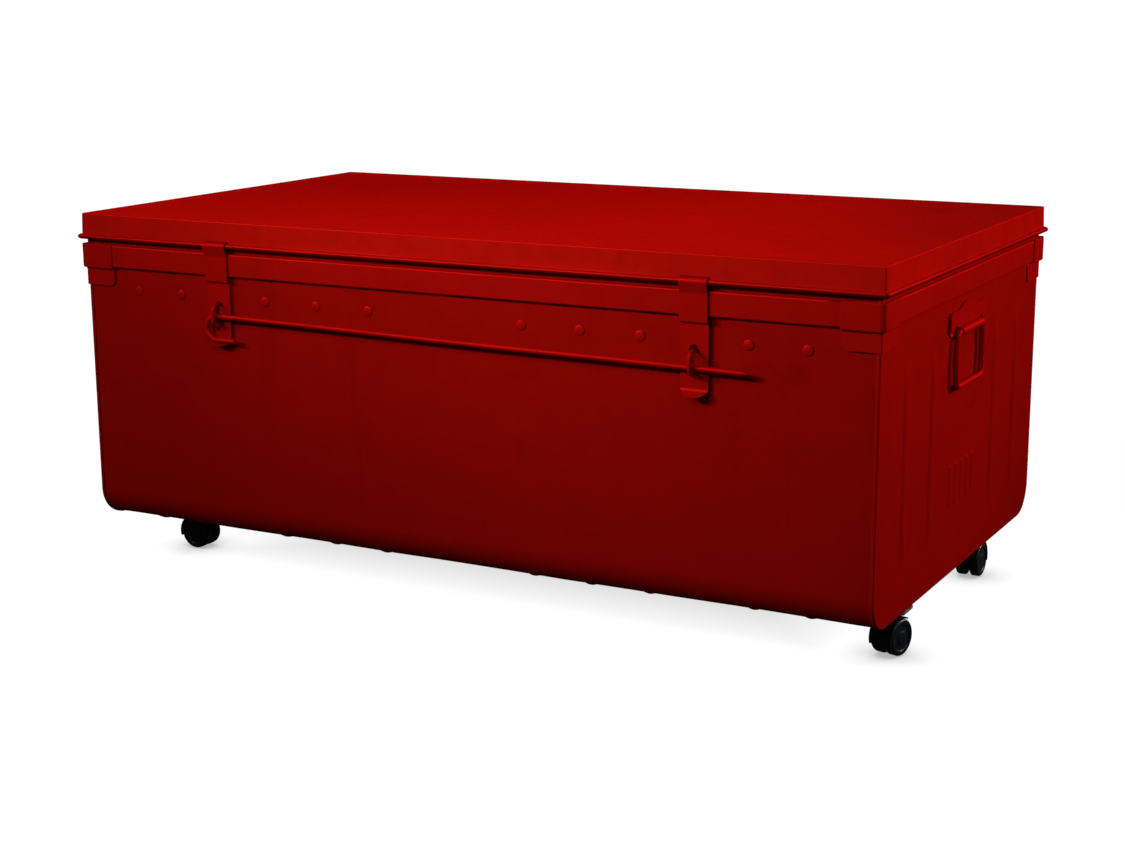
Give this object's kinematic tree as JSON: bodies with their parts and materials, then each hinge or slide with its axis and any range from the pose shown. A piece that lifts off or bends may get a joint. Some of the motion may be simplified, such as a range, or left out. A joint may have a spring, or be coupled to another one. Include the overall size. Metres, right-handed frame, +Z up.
{
  "type": "storage chest",
  "caption": "Long sheet-steel chest with a lift-up lid, two hasps over staples locked by one sliding rod, drop handles and twin-wheel swivel castors.",
  "frame": {"origin": "centre of the chest's length and depth, on the floor under the castor wheels", "axes": "+X along the length to the chest's right as seen from the front, +Y to the rear (the front with the hasps faces -Y), +Z up"},
  "size_m": [1.0102, 0.5813, 0.43],
  "materials": {
    "body_paint": "semi-gloss red enamel, worn",
    "lid_paint": "semi-gloss red enamel",
    "hardware_paint": "semi-gloss red enamel",
    "zinc_plate": "zinc plated steel",
    "black_plastic": "moulded black"
  },
  "bodies": {
    "chest": {"body_wrap_sheet": "body_paint", "castor_plate_front_left": "zinc_plate", "castor_plate_front_right": "zinc_plate", "castor_plate_rear_left": "zinc_plate", "castor_plate_rear_right": "zinc_plate", "corner_plate_front_left": "body_paint", "corner_plate_front_right": "body_paint", "corner_plate_rear_left": "body_paint", "corner_plate_rear_right": "body_paint", "end_panel_left": "body_paint", "end_panel_right": "body_paint", "front_rail_with_rivets": "hardware_paint", "handle_bracket_left": "hardware_paint", "handle_bracket_right": "hardware_paint", "hinge_strap_left": "hardware_paint", "hinge_strap_middle": "hardware_paint", "hinge_strap_right": "hardware_paint", "rim_band_front": "body_paint", "rim_band_left": "body_paint", "rim_band_rear": "body_paint", "rim_band_right": "body_paint", "staple_left": "hardware_paint", "staple_right": "hardware_paint"},
    "lid": {"lid_shell": "lid_paint", "lid_wire": "zinc_plate"},
    "hasp_left": {"hasp_left": "hardware_paint"},
    "hasp_right": {"hasp_right": "hardware_paint"},
    "locking_rod": {"locking_rod": "hardware_paint"},
    "handle_bail_left": {"handle_bail_left": "hardware_paint"},
    "handle_bail_right": {"handle_bail_right": "hardware_paint"},
    "castor_swivel_front_left": {"castor_hood_front_left": "black_plastic", "castor_stem_front_left": "zinc_plate", "castor_axle_front_left": "zinc_plate"},
    "castor_wheels_front_left": {"castor_wheel_front_left_a": "black_plastic", "castor_wheel_front_left_b": "black_plastic"},
    "castor_swivel_front_right": {"castor_hood_front_right": "black_plastic", "castor_stem_front_right": "zinc_plate", "castor_axle_front_right": "zinc_plate"},
    "castor_wheels_front_right": {"castor_wheel_front_right_a": "black_plastic", "castor_wheel_front_right_b": "black_plastic"},
    "castor_swivel_rear_left": {"castor_hood_rear_left": "black_plastic", "castor_stem_rear_left": "zinc_plate", "castor_axle_rear_left": "zinc_plate"},
    "castor_wheels_rear_left": {"castor_wheel_rear_left_a": "black_plastic", "castor_wheel_rear_left_b": "black_plastic"},
    "castor_swivel_rear_right": {"castor_hood_rear_right": "black_plastic", "castor_stem_rear_right": "zinc_plate", "castor_axle_rear_right": "zinc_plate"},
    "castor_wheels_rear_right": {"castor_wheel_rear_right_a": "black_plastic", "castor_wheel_rear_right_b": "black_plastic"}
  },
  "joints": [
    {"name": "lid_hinge", "type": "hinge", "parent": "chest", "child": "lid", "pos_m": [0, 0.2827, 0.4025], "axis": [-1, 0, 0], "range_deg": [0, 100]},
    {"name": "hasp_left_pivot", "type": "hinge", "parent": "lid", "child": "hasp_left", "pos_m": [-0.2995, -0.2827, 0.4025], "axis": [-1, 0, 0], "range_deg": [0, 145]},
    {"name": "hasp_right_pivot", "type": "hinge", "parent": "lid", "child": "hasp_right", "pos_m": [0.2995, -0.2827, 0.4025], "axis": [-1, 0, 0], "range_deg": [0, 145]},
    {"name": "locking_rod_slide", "type": "slide", "parent": "chest", "child": "locking_rod", "axis": [-0.9999, 0, 0.0121], "range_m": [0, 0.68]},
    {"name": "handle_left_pivot", "type": "hinge", "parent": "chest", "child": "handle_bail_left", "pos_m": [-0.5002, -0.006, 0.3295], "axis": [0, 1, 0], "range_deg": [0, 95]},
    {"name": "handle_right_pivot", "type": "hinge", "parent": "chest", "child": "handle_bail_right", "pos_m": [0.5002, -0.006, 0.3295], "axis": [0, -1, 0], "range_deg": [0, 95]},
    {"name": "castor_swivel_front_left", "type": "hinge", "parent": "chest", "child": "castor_swivel_front_left", "pos_m": [-0.448, -0.166, 0.0445], "axis": [0, 0, 1], "continuous": true},
    {"name": "castor_roll_front_left", "type": "hinge", "parent": "castor_swivel_front_left", "child": "castor_wheels_front_left", "pos_m": [-0.434, -0.166, 0.02], "axis": [0, -1, 0], "continuous": true},
    {"name": "castor_swivel_front_right", "type": "hinge", "parent": "chest", "child": "castor_swivel_front_right", "pos_m": [0.469, -0.166, 0.0445], "axis": [0, 0, 1], "continuous": true},
    {"name": "castor_roll_front_right", "type": "hinge", "parent": "castor_swivel_front_right", "child": "castor_wheels_front_right", "pos_m": [0.47239, -0.15242, 0.02], "axis": [0.9703, -0.2419, 0], "continuous": true},
    {"name": "castor_swivel_rear_left", "type": "hinge", "parent": "chest", "child": "castor_swivel_rear_left", "pos_m": [-0.448, 0.172, 0.0445], "axis": [0, 0, 1], "continuous": true},
    {"name": "castor_roll_rear_left", "type": "hinge", "parent": "castor_swivel_rear_left", "child": "castor_wheels_rear_left", "pos_m": [-0.44461, 0.18558, 0.02], "axis": [0.9703, -0.2419, 0], "continuous": true},
    {"name": "castor_swivel_rear_right", "type": "hinge", "parent": "chest", "child": "castor_swivel_rear_right", "pos_m": [0.463, 0.174, 0.0445], "axis": [0, 0, 1], "continuous": true},
    {"name": "castor_roll_rear_right", "type": "hinge", "parent": "castor_swivel_rear_right", "child": "castor_wheels_rear_right", "pos_m": [0.463, 0.16, 0.02], "axis": [-1, 0, 0], "continuous": true}
  ]
}
